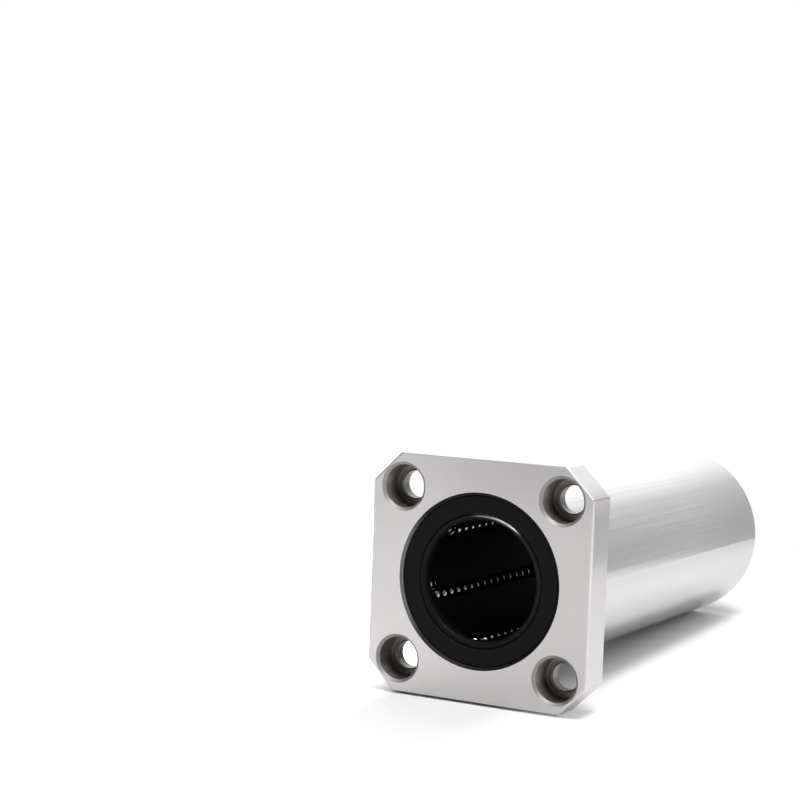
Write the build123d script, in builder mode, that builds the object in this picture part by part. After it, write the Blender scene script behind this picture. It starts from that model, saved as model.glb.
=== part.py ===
# Long flanged linear ball bearing for a 25 mm shaft.
# The bearing axis is Y. The flange's seating face is at y = 0, its outer face looks towards -Y,
# and the sleeve runs from there towards +Y. Z is up. All sizes are in millimetres.

import os
from math import acos, asin, cos, degrees, floor, pi, radians, sin, sqrt

from build123d import *

# Shaft and balls
shaft_diameter = 25.0
ball_diameter = 3.175
ball_clearance = 0.01  # between a loaded ball and the shaft, and between it and its raceway
ball_play = 0.015  # least gap between two balls of a circuit

# Flanged sleeve
overall_length = 112.0
sleeve_wall = 3.175  # outside the returning balls' grooves, which makes the sleeve 40 mm across
flange_square = 50.0
flange_thickness = 8.0
flange_edge_break = 0.25
undercut_width = 2.6  # grinding relief behind the flange
undercut_depth = 0.8
shoulder_chamfer = 0.3  # where the ground diameter starts behind the relief
tail_chamfer = 0.7
mouth_chamfer = 0.55  # at both ends of the bore

# Fixing holes
bolt_circle_diameter = 51.0
bolt_count = 4
bolt_hole_diameter = 5.8
counterbore_diameter = 9.0
counterbore_depth = 5.1
counterbore_chamfer = 0.6
rim_land = 0.02  # least flat left beside a counterbore's chamfer
corner_wall = 1.0  # between a counterbore and the flat across its corner
hole_chamfer = 0.3  # at both ends of the through hole

# Raceways inside the sleeve, one zone for each retainer
circuit_count = 6
circuit_angle = 21.4  # degrees from +X towards +Z to the first loaded row
race_end_gap = 0.5  # a raceway stops this far short of the end of the straight rows
race_ramp_length = 1.6
race_ramp_rise = 0.25
relief_clearance = 0.15  # round the returning balls

# Ball retainers, two in line
retainer_bore_clearance = 0.4  # to the shaft
retainer_web = 0.5  # wall between the shaft and the returning balls
retainer_fit = 0.15  # to the sleeve
retainer_end_wall = 0.35
retainer_gap = 0.1  # at each end of a retainer
retainer_chamfer = 0.4  # at both ends of its bore
track_clearance = 0.1  # round a ball in its track
rail_gap = 2.8  # between the rails that hold the loaded balls
row_spacing = 5.4  # from a loaded row to its return row
first_roll = 0.12  # ball steps by which the first circuit's balls have rolled on
next_roll = 0.55  # and how much more in each next circuit

# End seals
seal_recess = 0.7
seal_thickness = 1.6
seal_seat_step = 0.825  # from the returning balls' grooves out to the seal seat
seal_fit = 0.02
seal_rim_chamfer = 0.2
seal_lip_width = 1.3  # from the shaft to the middle of the groove round the lip
seal_groove_depth = 0.35
seal_lip_land = 0.3  # width of the band that wipes the shaft
seal_back_taper = 0.6

# Snap rings
ring_thickness = 0.8
ring_groove_depth = 0.45
ring_fit = 0.05
ring_section = 2.1
ring_gap = 34.0  # degrees
ring_gap_angle = 270.0  # from +X towards +Z

# Radii that follow
shaft_radius = shaft_diameter / 2
ball_radius = ball_diameter / 2
loaded_row_radius = shaft_radius + ball_clearance + ball_radius
race_radius = loaded_row_radius + ball_radius + ball_clearance
track_radius = ball_radius + track_clearance
retainer_bore_radius = shaft_radius + retainer_bore_clearance
return_row_radius = retainer_bore_radius + retainer_web + track_radius
relief_radius = return_row_radius + ball_radius + relief_clearance
retainer_radius = race_radius - retainer_fit
collar_radius = relief_radius - retainer_fit
sleeve_radius = relief_radius + sleeve_wall
undercut_radius = sleeve_radius - undercut_depth
seal_seat_radius = relief_radius + seal_seat_step
ring_groove_radius = seal_seat_radius + ring_groove_depth
ring_outer_radius = ring_groove_radius - ring_fit
ring_inner_radius = ring_outer_radius - ring_section

# Flange sizes that follow
bolt_circle_radius = bolt_circle_diameter / 2
counterbore_radius = counterbore_diameter / 2
flange_across_corners = 2 * (bolt_circle_radius + counterbore_radius + corner_wall)
wall_to_corner = corner_wall - flange_edge_break
wall_to_side = flange_square / 2 - flange_edge_break - bolt_circle_radius / sqrt(2) - counterbore_radius
wall_to_mouth = bolt_circle_radius - counterbore_radius - seal_seat_radius - mouth_chamfer

# Stations along the bearing axis, front half
outer_face_y = -flange_thickness
tail_y = overall_length - flange_thickness
middle_y = (outer_face_y + tail_y) / 2
seal_front_y = outer_face_y + seal_recess
seal_back_y = seal_front_y + seal_thickness
ring_groove_end_y = seal_back_y + ring_thickness + 2 * ring_fit
retainer_start_y = ring_groove_end_y + retainer_gap
retainer_end_y = middle_y - retainer_gap / 2
turn_radius = row_spacing / 2
row_start_y = retainer_start_y + retainer_end_wall + track_radius + turn_radius
row_end_y = retainer_end_y - retainer_end_wall - track_radius - turn_radius
row_length = row_end_y - row_start_y
race_start_y = row_start_y + race_end_gap
race_end_y = row_end_y - race_end_gap

# Balls of one circuit, counted along its racetrack in steps from one ball to the next
ball_step = ball_diameter + ball_play
turn_step = 2 * asin(ball_step / 2 / turn_radius)
row_balls = row_length / ball_step
turn_balls = pi / turn_step
balls_in_circuit = floor(2 * (row_balls + turn_balls))
ball_spread = 2 * (row_balls + turn_balls) / balls_in_circuit

# Angle round the bearing axis from a return row to its loaded row
row_angle = acos(
    (loaded_row_radius**2 + return_row_radius**2 - row_spacing**2)
    / (2 * loaded_row_radius * return_row_radius)
)


def section_plane(y):
    """Cross-section at y, seen from the flange: its x runs along X and its y along Z."""
    return Plane.XZ.offset(-y)


def circuit_plane():
    """Plane of a circuit loaded along +X: x runs towards the tail, y to the loaded row."""
    loaded = Vector(loaded_row_radius, 0, 0)
    returning = Vector(cos(row_angle), 0, -sin(row_angle)) * return_row_radius
    across = loaded - returning
    middle = (loaded + returning) / 2 + Vector(0, (row_start_y + row_end_y) / 2, 0)
    return Plane(origin=middle, x_dir=(0, 1, 0), z_dir=Vector(0, 1, 0).cross(across))


def circuit_point(balls_along):
    """Place on that circuit, so many ball steps from the start of its loaded row."""
    half_way = row_balls + turn_balls
    side = 1 if balls_along % (2 * half_way) < half_way else -1
    rest = balls_along % half_way
    if rest < row_balls:
        x, y = rest * ball_step - row_length / 2, turn_radius
    else:
        angle = (rest - row_balls) * turn_step
        x, y = row_length / 2 + turn_radius * sin(angle), turn_radius * cos(angle)
    return circuit_plane().from_local_coords(Vector(side * x, side * y, 0))


def circuit_turn(number):
    """Degrees about the Y axis from +X to a circuit's loaded row."""
    return -(circuit_angle + number * 360 / circuit_count)


def turned_over(piece):
    """The same piece in the tail half, on the same loaded rows, put in from the other end."""
    loaded_row = Vector(1, 0, 0).rotate(Axis.Y, circuit_turn(0))
    return piece.rotate(Axis((0, middle_y, 0), loaded_row), 180)


def write(part, label):
    part.label = label
    export_step(part, f"parts/{label}.step")


def make_flanged_sleeve():
    with BuildPart() as flanged_sleeve:
        # Square flange with cut corners
        with BuildSketch(section_plane(0)):
            square = Rectangle(flange_square, flange_square)
            chamfer(square.vertices(), flange_square - flange_across_corners / sqrt(2))
        extrude(amount=flange_thickness)
        chamfer(flanged_sleeve.edges(), flange_edge_break)

        # Ground body with the relief behind the flange
        with BuildSketch(Plane.XY):
            with BuildLine():
                Polyline(
                    (0, -flange_thickness / 2),
                    (undercut_radius, -flange_thickness / 2),
                    (undercut_radius, undercut_width),
                    (sleeve_radius - shoulder_chamfer, undercut_width),
                    (sleeve_radius, undercut_width + shoulder_chamfer),
                    (sleeve_radius, tail_y - tail_chamfer),
                    (sleeve_radius - tail_chamfer, tail_y),
                    (0, tail_y),
                    close=True,
                )
            make_face()
        revolve(axis=Axis.Y)

        # Bore, the same from both ends: seal seat, snap ring groove and raceway zone with its ramps
        with BuildSketch(Plane.XY):
            with BuildLine():
                Polyline(
                    (0, outer_face_y),
                    (seal_seat_radius + mouth_chamfer, outer_face_y),
                    (seal_seat_radius, outer_face_y + mouth_chamfer),
                    (seal_seat_radius, seal_back_y),
                    (ring_groove_radius, seal_back_y),
                    (ring_groove_radius, ring_groove_end_y),
                    (relief_radius, ring_groove_end_y),
                    (relief_radius, race_start_y),
                    (race_radius + race_ramp_rise, race_start_y),
                    (race_radius, race_start_y + race_ramp_length),
                    (race_radius, race_end_y - race_ramp_length),
                    (race_radius + race_ramp_rise, race_end_y),
                    (relief_radius, race_end_y),
                    (relief_radius, middle_y),
                    (0, middle_y),
                    close=True,
                )
            make_face()
            mirror(about=section_plane(middle_y))
        revolve(axis=Axis.Y, mode=Mode.SUBTRACT)

        # Grooves across the raceway zones for the returning balls
        groove_width = ball_diameter + 2 * relief_clearance
        for first_y, side in ((race_start_y, -1), (2 * middle_y - race_end_y, 1)):
            with BuildSketch(section_plane(first_y)):
                with PolarLocations(0, circuit_count, circuit_angle + side * degrees(row_angle)):
                    Rectangle(sleeve_radius, groove_width, align=(Align.MIN, Align.CENTER))
                Circle(relief_radius, mode=Mode.INTERSECT)
            extrude(amount=race_start_y - race_end_y, mode=Mode.SUBTRACT)

        # Counterbored fixing holes in the flange's corners
        with Locations(section_plane(outer_face_y)):
            with PolarLocations(bolt_circle_radius, bolt_count, 180 / bolt_count):
                CounterBoreHole(
                    bolt_hole_diameter / 2,
                    counterbore_radius,
                    counterbore_depth,
                    depth=flange_thickness,
                )
        rims = flanged_sleeve.edges(Select.LAST).filter_by(GeomType.CIRCLE)
        counterbores = rims.filter_by(lambda rim: rim.radius > bolt_hole_diameter / 2 + hole_chamfer)
        mouths = counterbores.group_by(Axis.Y)[0]
        throats = rims.filter_by(lambda rim: rim.radius < bolt_hole_diameter / 2 + hole_chamfer)
        walls = [wall for wall in (wall_to_corner, wall_to_side, wall_to_mouth) if wall > rim_land]
        chamfer(mouths, min(counterbore_chamfer, min(walls) - rim_land))
        chamfer(throats, hole_chamfer)
    return flanged_sleeve.part


def make_ball_track():
    """Channel for one circuit, open outward, with rails that keep the loaded balls out of the bore."""
    rail_height = track_radius - sqrt(track_radius**2 - rail_gap**2 / 4)
    rail_width = track_radius - rail_gap / 2
    with BuildPart() as ball_track:
        with BuildSketch(circuit_plane().offset(-track_radius)):
            SlotCenterToCenter(row_length, row_spacing + 2 * track_radius)
            SlotCenterToCenter(row_length, row_spacing - 2 * track_radius, mode=Mode.SUBTRACT)
        extrude(amount=sleeve_radius - retainer_bore_radius)
        with Locations(circuit_plane().offset(-track_radius)):
            with Locations((0, turn_radius + track_radius), (0, turn_radius - track_radius + rail_width)):
                Box(
                    row_length,
                    rail_width,
                    rail_height,
                    align=(Align.CENTER, Align.MAX, Align.MIN),
                    mode=Mode.SUBTRACT,
                )
    return ball_track.part


def make_retainer(ball_track):
    with BuildPart() as retainer:
        with BuildSketch(section_plane(retainer_start_y)):
            Circle(retainer_radius)
        extrude(amount=retainer_start_y - retainer_end_y)

        # Collar at its outer end, which stops against the raceway zone
        with BuildSketch(section_plane(retainer_start_y)):
            Circle(collar_radius)
        extrude(amount=retainer_start_y - race_start_y + retainer_fit)

        with Locations(section_plane(retainer_start_y)):
            Hole(retainer_bore_radius)
        rims = retainer.edges(Select.LAST).filter_by(GeomType.CIRCLE)
        chamfer(rims, retainer_chamfer)
        for number in range(circuit_count):
            add(ball_track.rotate(Axis.Y, circuit_turn(number)), mode=Mode.SUBTRACT)
    return retainer.part


def make_balls(number):
    """The balls of one circuit. Each is drawn with 20 flats, and its corners lie on the ball."""
    golden = (1 + sqrt(5)) / 2
    short = ball_radius / sqrt(1 + golden**2)
    corners = []
    for across in (-short, short):
        for along in (-short * golden, short * golden):
            corners += [(0, across, along), (across, along, 0), (along, 0, across)]
    rolled_on = first_roll + number * next_roll
    places = [circuit_point((count + rolled_on) * ball_spread) for count in range(balls_in_circuit)]
    with BuildPart() as balls:
        with Locations(*places):
            ConvexPolyhedron(corners)
    return balls.part.rotate(Axis.Y, circuit_turn(number))


def make_snap_ring():
    with BuildPart() as snap_ring:
        with BuildSketch(section_plane(seal_back_y + ring_fit)):
            Circle(ring_outer_radius)
            Circle(ring_inner_radius, mode=Mode.SUBTRACT)
            with BuildLine():
                reach = ring_outer_radius / cos(radians(ring_gap / 2))
                PolarLine((0, 0), reach, ring_gap_angle - ring_gap / 2)
                PolarLine((0, 0), reach, ring_gap_angle + ring_gap / 2)
                Line(edges()[0] @ 1, edges()[1] @ 1)
            make_face(mode=Mode.SUBTRACT)
        extrude(amount=-ring_thickness)
    return snap_ring.part


def make_seal():
    """Rubber wiper: a flat ring, a groove and a rounded lip that bears on the shaft."""
    rim = seal_seat_radius - seal_fit
    groove = shaft_radius + seal_lip_width
    lip_nose_radius = seal_lip_width - seal_groove_depth
    land_y = seal_front_y + lip_nose_radius
    with BuildPart() as seal:
        with BuildSketch(Plane.XY):
            with BuildLine():
                back = Line((shaft_radius + seal_back_taper, seal_back_y), (rim, seal_back_y))
                edge = Line(back @ 1, (rim, seal_front_y + seal_rim_chamfer))
                bevel = Line(edge @ 1, (rim - seal_rim_chamfer, seal_front_y))
                face = Line(bevel @ 1, (groove + seal_groove_depth, seal_front_y))
                outer_flank = Line(face @ 1, (groove, seal_front_y + seal_groove_depth))
                inner_flank = Line(outer_flank @ 1, (groove - seal_groove_depth, seal_front_y))
                nose = RadiusArc(inner_flank @ 1, (shaft_radius, land_y), lip_nose_radius)
                land = Line(nose @ 1, (shaft_radius, land_y + seal_lip_land))
                Line(land @ 1, back @ 0)
            make_face()
        revolve(axis=Axis.Y)
    return seal.part


os.makedirs("parts", exist_ok=True)
print("balls in a circuit", balls_in_circuit, "at a pitch of", round(ball_step * ball_spread, 3))

write(make_flanged_sleeve(), "flanged_sleeve")

retainer = make_retainer(make_ball_track())
snap_ring = make_snap_ring()
seal = make_seal()

write(retainer, "retainer_front")
write(turned_over(retainer), "retainer_rear")
write(snap_ring, "snap_ring_front")
write(turned_over(snap_ring), "snap_ring_rear")
write(seal, "seal_front")
write(turned_over(seal), "seal_rear")

for number in range(circuit_count):
    balls = make_balls(number)
    write(balls, f"balls_front_{number + 1}")
    write(turned_over(balls), f"balls_rear_{number + 1}")
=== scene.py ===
# Flanged linear bearing: finishes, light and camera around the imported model.
from math import atan2, radians

import bmesh
import bpy
from mathutils import Matrix, Vector


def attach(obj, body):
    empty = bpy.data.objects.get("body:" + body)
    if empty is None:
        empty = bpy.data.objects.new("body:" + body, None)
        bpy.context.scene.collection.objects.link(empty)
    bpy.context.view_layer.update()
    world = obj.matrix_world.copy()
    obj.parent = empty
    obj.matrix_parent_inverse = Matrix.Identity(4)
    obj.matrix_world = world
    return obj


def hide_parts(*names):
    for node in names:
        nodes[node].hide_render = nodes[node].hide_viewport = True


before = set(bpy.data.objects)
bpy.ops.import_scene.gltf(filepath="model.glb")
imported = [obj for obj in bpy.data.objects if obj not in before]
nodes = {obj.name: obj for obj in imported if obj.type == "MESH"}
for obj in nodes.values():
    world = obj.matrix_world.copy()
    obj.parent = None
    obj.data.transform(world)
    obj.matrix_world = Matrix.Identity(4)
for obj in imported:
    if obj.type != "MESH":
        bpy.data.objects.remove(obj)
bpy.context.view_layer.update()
mm = 0.001


# Shader maths: a wrapped socket that takes part in Python expressions

class Val:
    def __init__(self, tree, socket):
        self.tree = tree
        self.socket = socket

    def math(self, operation, *others, clamp=False):
        node = self.tree.nodes.new("ShaderNodeMath")
        node.operation = operation
        node.use_clamp = clamp
        for slot, value in zip(node.inputs, (self, *others)):
            plug(self.tree, slot, value)
        return Val(self.tree, node.outputs[0])

    def reflected(self, operation, other):
        node = self.tree.nodes.new("ShaderNodeMath")
        node.operation = operation
        plug(self.tree, node.inputs[0], other)
        plug(self.tree, node.inputs[1], self)
        return Val(self.tree, node.outputs[0])

    def __add__(self, other):
        return self.math("ADD", other)

    def __radd__(self, other):
        return self.math("ADD", other)

    def __sub__(self, other):
        return self.math("SUBTRACT", other)

    def __rsub__(self, other):
        return self.reflected("SUBTRACT", other)

    def __mul__(self, other):
        return self.math("MULTIPLY", other)

    def __rmul__(self, other):
        return self.math("MULTIPLY", other)

    def __abs__(self):
        return self.math("ABSOLUTE")

    def __gt__(self, other):
        return self.math("GREATER_THAN", other)

    def __lt__(self, other):
        return self.math("LESS_THAN", other)

    def larger(self, other):
        return self.math("MAXIMUM", other)

    def clamped(self):
        return self.math("ADD", 0, clamp=True)


def plug(tree, slot, value):
    if isinstance(value, Val):
        tree.links.new(value.socket, slot)
    elif isinstance(value, tuple) and slot.type == "RGBA":
        slot.default_value = (*value, 1)
    else:
        slot.default_value = value


class Finish:
    # the shader tree of a material or of the world
    def __init__(self, owner):
        owner.use_nodes = True
        self.owner = owner
        self.tree = owner.node_tree
        self.tree.nodes.clear()

    def node(self, kind, settings=None, output=0, **values):
        # i0, i1 and so on stand for inputs by number, other names for inputs by name
        node = self.tree.nodes.new(kind)
        for name, setting in (settings or {}).items():
            setattr(node, name, setting)
        for name, value in values.items():
            numbered = name[0] == "i" and name[1:].isdigit()
            plug(self.tree, node.inputs[int(name[1:]) if numbered else name.replace("_", " ")], value)
        return Val(self.tree, node.outputs[output])

    def split(self, vector):
        node = self.tree.nodes.new("ShaderNodeSeparateXYZ")
        plug(self.tree, node.inputs[0], vector)
        return [Val(self.tree, socket) for socket in node.outputs]

    def places(self):
        # object coordinates in millimetres, whole and as three values
        coords = self.node("ShaderNodeTexCoord", output="Object")
        spot = self.node("ShaderNodeVectorMath", {"operation": "SCALE"}, i0=coords, Scale=1 / mm)
        return spot, *self.split(spot)

    def vector(self, x, y, z):
        return self.node("ShaderNodeCombineXYZ", X=x, Y=y, Z=z)

    def grained(self, x, y, z, grain):
        # coordinates stretched by a grain, which is one factor for each axis
        return self.vector(x * grain[0], y * grain[1], z * grain[2])

    def length(self, across, up):
        return (across * across + up * up).math("SQRT")

    def noise(self, vector, scale=1, detail=4, roughness=0.7):
        return self.node("ShaderNodeTexNoise", output="Fac", Vector=vector, Scale=scale, Detail=detail,
                         Roughness=roughness)

    def ramp(self, value, low, high, start=0, end=1, kind="SMOOTHSTEP"):
        return self.node("ShaderNodeMapRange", {"interpolation_type": kind}, i0=value, i1=low, i2=high,
                         i3=start, i4=end)

    def band(self, value, low, high, soft):
        return self.ramp(value, low - soft, low + soft) * self.ramp(value, high - soft, high + soft, 1, 0)

    def mix(self, share, first, second):
        return self.node("ShaderNodeMix", {"data_type": "RGBA"}, output=2, i0=share, i6=first, i7=second)

    def close(self, shader, kind="ShaderNodeOutputMaterial"):
        end = self.tree.nodes.new(kind)
        self.tree.links.new(shader.socket, end.inputs["Surface"])
        return self.owner


def newFinish(name):
    return Finish(bpy.data.materials.new(name))


def dress(piece, material):
    piece.data.materials.clear()
    piece.data.materials.append(material)


# Ground steel of the sleeve and its flange. Lengths are in millimetres, and depths are measured from the
# flange's outer face. A skin is how far past its edge a mask still holds. A ramp is its start and end,
# with the value at each where they aren't 0 and 1, and a band is its start, end and softness.

steel = {
    "flangeHalf": 25.0,
    "cornerSum": 43.84,  # x + z on a corner flat
    "slant": 0.707,  # turns that sum into a distance
    "boltHalf": 18.03,  # x and z of a hole's axis
    "counterboreRadius": 4.5,
    "ringRadius": 5.1,  # the rim of the counterbore's chamfer
    "holeRadius": 2.9,
    "mouthY": -8.0,  # the flange's outer face
    "sunkY": -2.9,  # the counterbores' bottom
    "rearY": -0.05,  # just short of the flange's rear face
    "bodyRadius": 20.0,
    "bodySkin": 0.5,
    "bodyStart": (0.0, 0.1),
    "boreMouthRadius": 18.22,
    # the flange's edges
    "sideSkin": 0.06,
    "shadeSkin": 0.16,
    "shadeDepth": 0.3,
    "shadeShare": 0.85,
    "cornerSkin": 0.24,
    "cornerDepth": 0.26,
    "burrWidth": 0.40,
    "burrOver": 1,  # past the edge, so that only the inner side of the band shows
    "burrSoft": 0.12,
    "burrDepths": (0.30, 0.80),  # it fades out between these
    "burrNicks": (0.30, 0.50, 0.45, 1),
    "burrUp": (2, 18, 1, 0.3),
    "nickGrain": (0.6, 0.6, 1.1),
    # the bore's mouth and the counterbores
    "mouthDepth": 0.75,
    # painted highlight: the ring's tone over the left of the bore's mouth
    "mouthLitAcross": (-17.5, -12, 0.5, 0),
    "wallDepth": 0.55,
    "wallSkin": 0.02,
    "ringDepth": 0.62,
    "ringSkin": 0.03,
    "bottomSkin": (0.04, 0.03),  # in depth and in radius
    "throatSkin": (0.02, 0.33),
    "wallFade": (0.6, 0.5),  # past the outer face, short of the bottom
    "turningGrain": 3.0,
    "turningSteps": (0.5, 0.7),
    "turningShare": 0.3,
    "bottomLine": (3.9, 4.12, 0.06),
    "bottomLineShare": 0.8,
    # grinding lines, streaks and stains
    "bodyGrain": 9,
    "flangeGrain": (0.25, 1.5, 7),
    "streakGrain": (1.3, 0.012, 1.3),
    "streakSteps": (0.4, 0.66),
    "streakUp": (-8, 3, 0.4, 1),
    "cloudScale": 0.07,
    "cloudSteps": (0.4, 0.6),
    "fineScale": 1.7,
    "filmPlace": (12, 27),  # x and z of the middle of the painted shade at the top of the face
    "faceShadeSquash": 0.6,
    "faceShadeUneven": 10,
    "faceShadeFade": (2, 21, 0.9, 0),
    "sideShadeUp": (5, 17.5, 3),
    "topUp": (18.8, 22.0),
    "tailAlong": (55, 104),
    "lowUp": (-4, 2, 0.85, 0),
    "underUp": (-14, -6, 3.5),
    # colours
    "faceTone": (0.605, 0.577, 0.583),
    "faceToneGreen": (0.582, 0.572, 0.563),
    "faceShade": (0.49, 0.475, 0.48),
    "sideTone": (0.72, 0.695, 0.70),
    "sideShade": (0.51, 0.50, 0.50),
    "topLitTone": (0.88, 0.875, 0.87),  # painted light: the two upper corner flats made paler, as lit from above
    "bodyTone": (0.715, 0.71, 0.705),
    "bodyStreak": (0.65, 0.645, 0.64),
    "bodyTailShade": (0.56, 0.555, 0.555),  # painted shade: darker towards the tail
    "bodyLowShade": (0.63, 0.625, 0.625),  # painted shade: the lower half darker
    "bodyUnderShade": (0.55, 0.545, 0.545),  # painted shade: a soft darker band in the lower half
    "ringTone": (0.40, 0.39, 0.385),
    # painted shade: the bore's mouth nearly black
    "mouthShadeTone": (0.03, 0.027, 0.028),
    "edgeShadeTone": (0.10, 0.075, 0.08),  # painted shade on the left and lower front edges
    # painted shade in the counterbores: walls darker deeper down, a dark bottom and a dark hole
    "wallShadeTone": (0.30, 0.255, 0.235),
    "wallDeepShadeTone": (0.19, 0.16, 0.15),
    "sunkShadeTone": (0.17, 0.16, 0.145),
    "sunkRingTone": (0.36, 0.35, 0.33),
    "throatShadeTone": (0.22, 0.21, 0.195),
    # a real burr, painted lighter as a highlight along the right front edge
    "burrSheenTone": (0.73, 0.715, 0.70),
    # painted shade on the front edge of the upper right corner flat
    "cornerEdgeShadeTone": (0.50, 0.49, 0.49),
    # roughness and relief
    "faceRoughness": 0.36,
    "sideRoughness": 0.42,
    "bodyRoughness": 0.19,
    "sunkRoughness": 0.38,
    "ringRougher": 0.25,
    "linesRougher": 0.10,
    "fineRougher": 0.05,
    "linesShare": 0.6,  # of the bump, the rest is fine grain
    "bumpStrength": 0.05,
    "bumpHeight": 0.02 * mm,
}


def makeGroundSteel(size):
    fin = newFinish("groundSteel")
    spot, x, y, z = fin.places()
    mouthY, sunkY, boreRadius = size["mouthY"], size["sunkY"], size["counterboreRadius"]
    radius = fin.length(x, z)
    holeRadius = fin.length(abs(x) - size["boltHalf"], abs(z) - size["boltHalf"])
    onBody = fin.ramp(y, *size["bodyStart"]) * (radius < size["bodyRadius"] + size["bodySkin"])

    # flange: its four sides and corner flats, its edges with painted shade, and the burr at the right,
    # painted lighter as a highlight
    reach = abs(x).larger(abs(z)) - size["flangeHalf"]
    corner = (abs(x) + abs(z) - size["cornerSum"]) * size["slant"]
    side = (reach.larger(corner) > -size["sideSkin"]) * (1 - onBody)
    burrEdge = fin.band(x, size["flangeHalf"] - size["burrWidth"], size["flangeHalf"] + size["burrOver"],
                        size["burrSoft"])
    burrFrom, burrTo = size["burrDepths"]
    burrEdge = burrEdge * fin.ramp(y, mouthY + burrFrom, mouthY + burrTo, 1, 0)
    nicks = fin.noise(fin.grained(x, y, z, size["nickGrain"]), detail=3, roughness=0.6)
    burrAndSheen = burrEdge * fin.ramp(nicks, *size["burrNicks"]) * fin.ramp(z, *size["burrUp"])
    leftCorner = (abs(z) - x - size["cornerSum"]) * size["slant"]
    shadeEdge = ((0 - x).larger(0 - z) - size["flangeHalf"]).larger(leftCorner) > -size["shadeSkin"]
    shadeEdge = shadeEdge * (y < mouthY + size["shadeDepth"])
    shadedCornerEdge = (corner > -size["cornerSkin"]) * (y < mouthY + size["cornerDepth"]) * (x > 0) * (z > 0)
    mouth = (radius < size["boreMouthRadius"]) * (y < mouthY + size["mouthDepth"])

    # counterbores: entry chamfer, wall painted darker deeper down as shade, flat bottom painted dark as
    # shade with its turning marks, and the hole, painted dark as shade
    wallRadius = boreRadius + size["wallSkin"]
    wall = (holeRadius < wallRadius) * (y > mouthY + size["wallDepth"]) * (y < size["rearY"])
    ring = (holeRadius < size["ringRadius"] + size["ringSkin"]) * (holeRadius > wallRadius)
    ring = ring * (y < mouthY + size["ringDepth"])
    bottomDeep, bottomShort = size["bottomSkin"]
    bottom = wall * (y > sunkY - bottomDeep) * (holeRadius < boreRadius - bottomShort)
    throatDeep, throatWide = size["throatSkin"]
    throat = wall * (y > sunkY - throatDeep) * (holeRadius < size["holeRadius"] + throatWide)
    turned = fin.noise(fin.vector(holeRadius * size["turningGrain"], 0, 0))
    pastFace, shortOfBottom = size["wallFade"]
    wallShadeTone = fin.mix(fin.ramp(y, mouthY + pastFace, sunkY - shortOfBottom), size["wallShadeTone"],
                       size["wallDeepShadeTone"])
    marks = (fin.band(holeRadius, *size["bottomLine"]) * size["bottomLineShare"]
             + fin.ramp(turned, *size["turningSteps"]) * size["turningShare"])
    bottomShadeAndMarks = fin.mix(marks.clamped(), size["sunkShadeTone"], size["sunkRingTone"])

    # grinding lines: round the body, across the flange
    bodyLines = fin.noise(fin.vector(0.0, y * size["bodyGrain"], 0.0))
    flangeLines = fin.noise(fin.grained(x, y, z, size["flangeGrain"]))
    lines = bodyLines * onBody + flangeLines * (1 - onBody)
    streaks = fin.noise(fin.grained(x, y, z, size["streakGrain"]), roughness=0.65)
    streaks = fin.ramp(streaks, *size["streakSteps"]) * fin.ramp(z, *size["streakUp"])
    cloud = fin.noise(spot, size["cloudScale"], detail=3, roughness=0.55)
    fine = fin.noise(spot, size["fineScale"], detail=2, roughness=0.5)

    # colour: face with painted shade near its top, sides with a painted shade band and painted light on
    # the upper corner flats, body with painted shade, then the edges with painted shade and a painted
    # highlight, and what is sunk into the face, painted dark as shade
    # painted shade: the face darker round a place near its top, with an uneven edge
    faceShadeX, faceShadeZ = size["filmPlace"]
    away = fin.length((x - faceShadeX) * size["faceShadeSquash"], z - faceShadeZ)
    faceShadeMask = fin.ramp(away + (cloud - 0.5) * size["faceShadeUneven"], *size["faceShadeFade"])
    tone = fin.mix(fin.ramp(cloud, *size["cloudSteps"]), size["faceTone"], size["faceToneGreen"])
    tone = fin.mix(faceShadeMask, tone, size["faceShade"])
    tone = fin.mix(side, tone, size["sideTone"])
    tone = fin.mix(side * fin.band(z, *size["sideShadeUp"]), tone, size["sideShade"])
    # painted light on the two upper corner flats
    tone = fin.mix(side * fin.ramp(z, *size["topUp"]) * (corner > -size["sideSkin"]), tone,
                   size["topLitTone"])
    bodyTone = fin.mix(streaks, size["bodyTone"], size["bodyStreak"])
    # painted shade: the body darker towards the tail
    bodyTone = fin.mix(fin.ramp(y, *size["tailAlong"]), bodyTone, size["bodyTailShade"])
    # painted shade: the body's lower half darker, with a darker soft band in it
    bodyTone = fin.mix(fin.ramp(z, *size["lowUp"]), bodyTone, size["bodyLowShade"])
    bodyTone = fin.mix(fin.band(z, *size["underUp"]), bodyTone, size["bodyUnderShade"])
    tone = fin.mix(onBody, tone, bodyTone)
    # the burr at the right front edge, painted lighter as a highlight
    tone = fin.mix(burrAndSheen, tone, size["burrSheenTone"])
    # painted shade on the left and lower front edges
    tone = fin.mix(shadeEdge * size["shadeShare"], tone, size["edgeShadeTone"])
    # painted shade on the front edge of the upper right corner flat
    tone = fin.mix(shadedCornerEdge, tone, size["cornerEdgeShadeTone"])
    # painted shade: the bore's mouth nearly black, with a painted highlight towards its left
    mouthShadeTone = fin.mix(fin.ramp(x, *size["mouthLitAcross"]), size["mouthShadeTone"], size["ringTone"])
    tone = fin.mix(mouth, tone, mouthShadeTone)
    tone = fin.mix(ring, tone, size["ringTone"])
    # painted shade in the counterbores and their holes
    tone = fin.mix(wall, tone, wallShadeTone)
    tone = fin.mix(bottom, tone, bottomShadeAndMarks)
    tone = fin.mix(throat, tone, size["throatShadeTone"])

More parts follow.
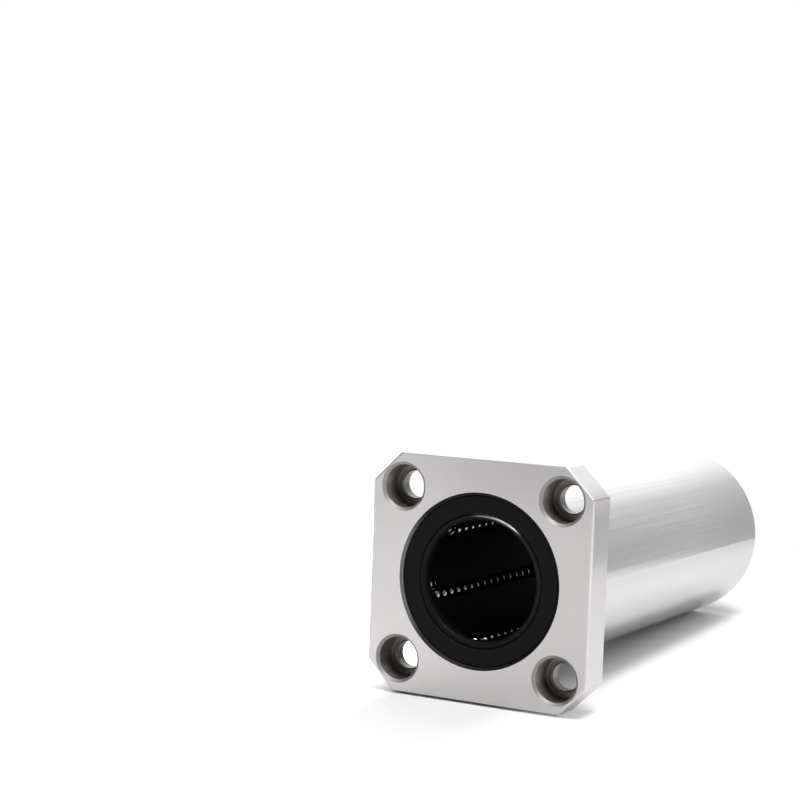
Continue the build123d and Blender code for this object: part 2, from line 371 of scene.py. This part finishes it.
    flangeRoughness = size["faceRoughness"] + (size["sideRoughness"] - size["faceRoughness"]) * side
    roughness = (flangeRoughness * (1 - onBody) + size["bodyRoughness"] * onBody
                 + (size["sunkRoughness"] - size["faceRoughness"]) * wall
                 + ring.larger(mouth) * size["ringRougher"]
                 + (lines - 0.5) * size["linesRougher"] + (fine - 0.5) * size["fineRougher"])
    height = lines * size["linesShare"] + fine * (1 - size["linesShare"])
    bump = fin.node("ShaderNodeBump", Strength=size["bumpStrength"], Distance=size["bumpHeight"],
                    Height=height)
    shader = fin.node("ShaderNodeBsdfPrincipled", Base_Color=tone, Metallic=1.0,
                      Roughness=roughness.clamped(), Normal=bump)
    return fin.close(shader)


# Rubber of the seals: dull, with a lip that the shaft has polished

seal = {
    "lipRadius": 13.95,  # mm, the far side of the groove round the lip
    "polishedFrom": 13.2,  # the nose inside this stays dull
    "lipSoft": 0.08,
    "glossTowards": (0.26, 0.965),  # x and z of the lip's glossy stretch
    "glossAlong": (11.9, 13.2, 0.03, 1),  # how the gloss rises in that direction
    "coat": (0.8, 0.2),  # the least, and what the grain adds
    "coatRoughness": 0.23,
    "coatIor": 2.6,
    "specular": 0.1,
    "roughness": (0.46, 0.12),  # the same
    "grain": 3.5,
    "bumpStrength": 0.1,
    "bumpHeight": 0.03 * mm,
    "tone": (0.0045, 0.004, 0.0045),
    "toneWorn": (0.007, 0.0065, 0.007),
}


def makeRubber(size):
    fin = newFinish("sealRubber")
    spot, x, y, z = fin.places()
    grain = fin.noise(spot, size["grain"], roughness=0.6)
    lip = fin.band(fin.length(x, z), size["polishedFrom"], size["lipRadius"], size["lipSoft"])
    towardsX, towardsZ = size["glossTowards"]
    lip = lip * fin.ramp(x * towardsX + z * towardsZ, *size["glossAlong"])
    coat, coatGrain = size["coat"]
    roughness, roughnessGrain = size["roughness"]
    bump = fin.node("ShaderNodeBump", Strength=size["bumpStrength"], Distance=size["bumpHeight"],
                    Height=grain)
    shader = fin.node("ShaderNodeBsdfPrincipled", Normal=bump,
                      Base_Color=fin.mix(grain, size["tone"], size["toneWorn"]),
                      Roughness=roughness + grain * roughnessGrain,
                      Specular_IOR_Level=size["specular"], Coat_Weight=lip * (coat + grain * coatGrain),
                      Coat_Roughness=size["coatRoughness"], Coat_IOR=size["coatIor"])
    return fin.close(shader)


# Moulded resin of the cages, and the steel of the balls and of the snap rings, each in two tones

cage = {
    "tone": (0.0012, 0.0012, 0.0016),
    "toneCloud": (0.0026, 0.0026, 0.003),
    "cloud": (2.2, 3),  # scale and detail
    "roughness": (0.55, 0.15),  # the least, and what the cloud adds
    "metallic": 0.0,
    "specular": 0.06,
}

ball = {
    # painted shade: the balls' steel darkened for the shade inside the bore
    "tone": (0.29, 0.285, 0.28),
    "toneCloud": (0.35, 0.35, 0.35),
    "cloud": (0.9, 2),
    "roughness": (0.02, 0.04),
    "metallic": 1.0,
    "specular": 0.5,
}

snapRing = {
    "tone": (0.10, 0.10, 0.11),
    "toneCloud": (0.17, 0.16, 0.16),
    "cloud": (1.2, 3),
    "roughness": (0.35, 0.15),
    "metallic": 1.0,
    "specular": 0.5,
}


def makeClouded(name, size):
    fin = newFinish(name)
    spot, *_ = fin.places()
    scale, detail = size["cloud"]
    roughness, roughnessCloud = size["roughness"]
    cloud = fin.noise(spot, scale, detail, roughness=0.5)
    shader = fin.node("ShaderNodeBsdfPrincipled", Metallic=size["metallic"],
                      Base_Color=fin.mix(cloud, size["tone"], size["toneCloud"]),
                      Roughness=roughness + cloud * roughnessCloud,
                      Specular_IOR_Level=size["specular"])
    return fin.close(shader)


groundSteel = makeGroundSteel(steel)
rubber = makeRubber(seal)
resin = makeClouded("cageResin", cage)
shadedBallSteel = makeClouded("shadedBallSteel", ball)
springSteel = makeClouded("springSteel", snapRing)
dress(nodes["flanged_sleeve"], groundSteel)
for end in ("front", "rear"):
    dress(nodes[f"retainer_{end}"], resin)
    dress(nodes[f"seal_{end}"], rubber)
    dress(nodes[f"snap_ring_{end}"], springSteel)
print("finishes made")


# Balls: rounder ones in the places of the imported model's balls

ballRows = {
    "radius": 3.175 / 2 * mm,
    "splits": 2,  # of an icosphere, which gives 80 faces
    "weld": 0.005 * mm,
}


def ballCentres(node):
    # the middle of each island of the node's mesh, once its doubles are merged in a copy
    work = bmesh.new()
    work.from_mesh(node.data)
    bmesh.ops.remove_doubles(work, verts=work.verts, dist=ballRows["weld"])
    seen = set()
    centres = []
    for first in work.verts:
        if first in seen:
            continue
        island = {first}
        front = {first}
        while front:
            front = {edge.other_vert(vert) for vert in front for edge in vert.link_edges} - island
            island |= front
        seen |= island
        corners = sorted(tuple(vert.co) for vert in island)  # in order, so that each run sums alike
        centres.append(sum((Vector(corner) for corner in corners), Vector()) / len(corners))
    work.free()
    return centres


def makeBallTree(material):
    tree = bpy.data.node_groups.new("ballTree", "GeometryNodeTree")
    face = tree.interface
    face.new_socket("Places", in_out="INPUT", socket_type="NodeSocketGeometry")
    face.new_socket("Ball Radius", in_out="INPUT", socket_type="NodeSocketFloat")
    face.new_socket("Splits", in_out="INPUT", socket_type="NodeSocketInt")
    face.new_socket("Balls", in_out="OUTPUT", socket_type="NodeSocketGeometry")
    start = tree.nodes.new("NodeGroupInput")
    sphere = tree.nodes.new("GeometryNodeMeshIcoSphere")
    smooth = tree.nodes.new("GeometryNodeSetShadeSmooth")
    place = tree.nodes.new("GeometryNodeInstanceOnPoints")
    real = tree.nodes.new("GeometryNodeRealizeInstances")
    coat = tree.nodes.new("GeometryNodeSetMaterial")
    end = tree.nodes.new("NodeGroupOutput")
    coat.inputs["Material"].default_value = material
    link = tree.links.new
    link(start.outputs["Ball Radius"], sphere.inputs["Radius"])
    link(start.outputs["Splits"], sphere.inputs["Subdivisions"])
    link(sphere.outputs["Mesh"], smooth.inputs["Geometry"])
    link(start.outputs["Places"], place.inputs["Points"])
    link(smooth.outputs["Geometry"], place.inputs["Instance"])
    link(place.outputs["Instances"], real.inputs["Geometry"])
    link(real.outputs["Geometry"], coat.inputs["Geometry"])
    link(coat.outputs["Geometry"], end.inputs["Balls"])
    return tree


def makeBallRow(name, node, tree):
    places = bpy.data.meshes.new(name + "Places")
    places.from_pydata(ballCentres(node), [], [])
    row = bpy.data.objects.new(name, places)
    bpy.context.collection.objects.link(row)
    growth = row.modifiers.new("balls", "NODES")
    growth.node_group = tree
    wanted = {"Ball Radius": ballRows["radius"], "Splits": ballRows["splits"]}
    for socket in tree.interface.items_tree:
        if socket.name in wanted:
            growth[socket.identifier] = wanted[socket.name]
    evaluated = row.evaluated_get(bpy.context.evaluated_depsgraph_get())
    mesh = bpy.data.meshes.new_from_object(evaluated)
    row.modifiers.clear()
    row.data = mesh
    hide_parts(node.name)
    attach(row, "root")


ballTree = makeBallTree(shadedBallSteel)
for nodeName in sorted(nodes):
    if nodeName.startswith("balls_"):
        _, end, number = nodeName.split("_")
        makeBallRow(f"ballRow{end.title()}{number}", nodes[nodeName], ballTree)
print("balls made")


# Floor, light and camera, in metres, apart from the places of the floor's glow, in millimetres

studio = {
    "restFlange": (-0.25 * mm, -25.0 * mm),  # y and z where the part rests: flange edge, tail rim
    "restTail": (103.3 * mm, -20.0 * mm),
    "floorReach": 3.0,
    "floorEnd": 0.195,  # the floor ends here behind the part, and its edge shows in the ground steel
    "floorTone": 0.80,
    "glowMiddle": 50,  # y under the part's middle
    "glowFade": (110, 400, 0.0, 1.0),  # the glow that the camera sees, by the distance from there
    "leftGlow": (-30, -18, 0.75, 0),  # painted light: by x, lifts the shadow at the part's left
    "rightGlow": (3, 20, 0, 0.22),  # painted light: by x, lifts the part's shadow, with where that ends
    "rightGlowEnd": (28, 55, 1, 0),
    "mirroredGlow": 0.62,  # the share that the steel mirrors
    "backdrop": 1.45,  # behind the part and to the left
    "backdropLeft": (-0.75, -0.6),  # where it starts, by the x of a direction
    "backdropSteps": ((-0.12, 0.04, 0.30), (0.05, 0.14, 0.34), (0.22, 0.29, 0.13), (0.32, 0.40, 0.15)),
    "backdropDepth": (0.0, 0.25),  # by the y
    "roomRise": (0.12, 0.6, 0.045, 0.30),  # the dim rest of the room, by the z
    "ceiling": (0.5, 0.8, 0, 0.5),  # by the z
    "cards": (  # direction, cosines at the edge and at the full tone, tone
        ((-0.80, -0.56, -0.22), 0.74, 0.96, 0.85),
        ((0.87, -0.46, 0.16), 0.95, 0.985, 1.45),
        ((-0.10, -0.30, 0.95), 0.98, 0.993, 5.0),
    ),
    "topBoxPlace": (0.16, -0.09, 0.60),
    "topBoxSize": 0.20,
    "topBoxPower": 2.95,
    "aim": (0, 0.03, 0),
    "cameraPlace": (184.1 * mm, -374.7 * mm, 63.75 * mm),
    "cameraYaw": 29.06,
    "cameraDip": 3.81,
    "cameraRoll": 2.16,
    "cameraLens": 91.42,
    "cameraClip": (0.01, 20),
}


def shownRays(fin):
    # camera rays, and glossy or transmission rays, for what shows the pale background
    camera = fin.node("ShaderNodeLightPath", output="Is Camera Ray")
    glossy = fin.node("ShaderNodeLightPath", output="Is Glossy Ray")
    through = fin.node("ShaderNodeLightPath", output="Is Transmission Ray")
    return camera, glossy.larger(through)


def makeFloor():
    (y1, z1), (y2, z2) = studio["restFlange"], studio["restTail"]
    middle = Vector((0, (y1 + y2) / 2, (z1 + z2) / 2))
    reach = studio["floorReach"]
    back = studio["floorEnd"] - middle.y
    turn = Matrix.Translation(middle) @ Matrix.Rotation(atan2(z2 - z1, y2 - y1), 4, "X")
    outline = ((-reach, -reach), (reach, -reach), (reach, back), (-reach, back))
    mesh = bpy.data.meshes.new("floor")
    mesh.from_pydata([turn @ Vector((x, y, 0)) for x, y in outline], [], [(0, 1, 2, 3)])
    floor = bpy.data.objects.new("floor", mesh)
    bpy.context.collection.objects.link(floor)
    fin = newFinish("paleFloor")
    _, x, y, _ = fin.places()
    camera, others = shownRays(fin)
    glow = fin.ramp(fin.length(x, y - studio["glowMiddle"]), *studio["glowFade"])
    # painted light on the floor: glows that lift the part's shadow at its left and on its right
    glow = glow.larger(fin.ramp(x, *studio["leftGlow"], "LINEAR"))
    glow = glow.larger(fin.ramp(x, *studio["rightGlow"]) * fin.ramp(x, *studio["rightGlowEnd"]))
    glow = glow * camera.larger(others * studio["mirroredGlow"])
    tone = studio["floorTone"]
    cloth = fin.node("ShaderNodeBsdfDiffuse", Color=(tone, tone, tone))
    light = fin.node("ShaderNodeEmission", Color=(1.0, 1.0, 1.0), Strength=glow)
    both = fin.node("ShaderNodeAddShader", i0=cloth, i1=light)
    dress(floor, fin.close(both))


def makeWorld():
    world = bpy.data.worlds.new("studio")
    bpy.context.scene.world = world
    fin = Finish(world)
    direction = fin.node("ShaderNodeTexCoord", output="Generated")
    dx, dy, dz = fin.split(direction)
    backdrop = studio["backdrop"] * fin.ramp(dx, *studio["backdropLeft"])
    for start, stop, drop in studio["backdropSteps"]:
        backdrop = backdrop - fin.ramp(dx, start, stop, 0, drop)
    backdrop = backdrop * fin.ramp(dy, *studio["backdropDepth"])
    room = backdrop.larger(fin.ramp(dz, *studio["roomRise"]))
    for towards, low, high, tone in studio["cards"]:
        aim = Vector(towards).normalized()
        facing = dx * aim.x + dy * aim.y + dz * aim.z
        room = room.larger(fin.ramp(facing, low, high, 0, tone))
    room = room.larger(fin.ramp(dz, *studio["ceiling"]))
    camera, _ = shownRays(fin)
    strength = camera + (1 - camera) * room
    sky = fin.node("ShaderNodeBackground", Color=(1.0, 1.0, 1.0), Strength=strength)
    fin.close(sky, "ShaderNodeOutputWorld")


def makeLamp(name):
    lamp = bpy.data.lights.new(name, "AREA")
    lamp.shape = "SQUARE"
    lamp.size = studio[name + "Size"]
    lamp.energy = studio[name + "Power"]
    holder = bpy.data.objects.new(name, lamp)
    holder.location = studio[name + "Place"]
    look = Vector(studio["aim"]) - Vector(studio[name + "Place"])
    holder.rotation_euler = look.to_track_quat("-Z", "Y").to_euler()
    bpy.context.collection.objects.link(holder)


def makeCamera():
    lens = bpy.data.cameras.new("camera")
    lens.lens = studio["cameraLens"]
    lens.clip_start, lens.clip_end = studio["cameraClip"]
    camera = bpy.data.objects.new("camera", lens)
    turn = (Matrix.Rotation(radians(studio["cameraYaw"]), 4, "Z")
            @ Matrix.Rotation(radians(90 - studio["cameraDip"]), 4, "X")
            @ Matrix.Rotation(radians(studio["cameraRoll"]), 4, "Z"))
    camera.matrix_world = Matrix.Translation(studio["cameraPlace"]) @ turn
    bpy.context.collection.objects.link(camera)
    bpy.context.scene.camera = camera


makeFloor()
makeWorld()
makeLamp("topBox")
makeCamera()
bpy.context.scene.view_settings.view_transform = "Standard"
print("studio ready")
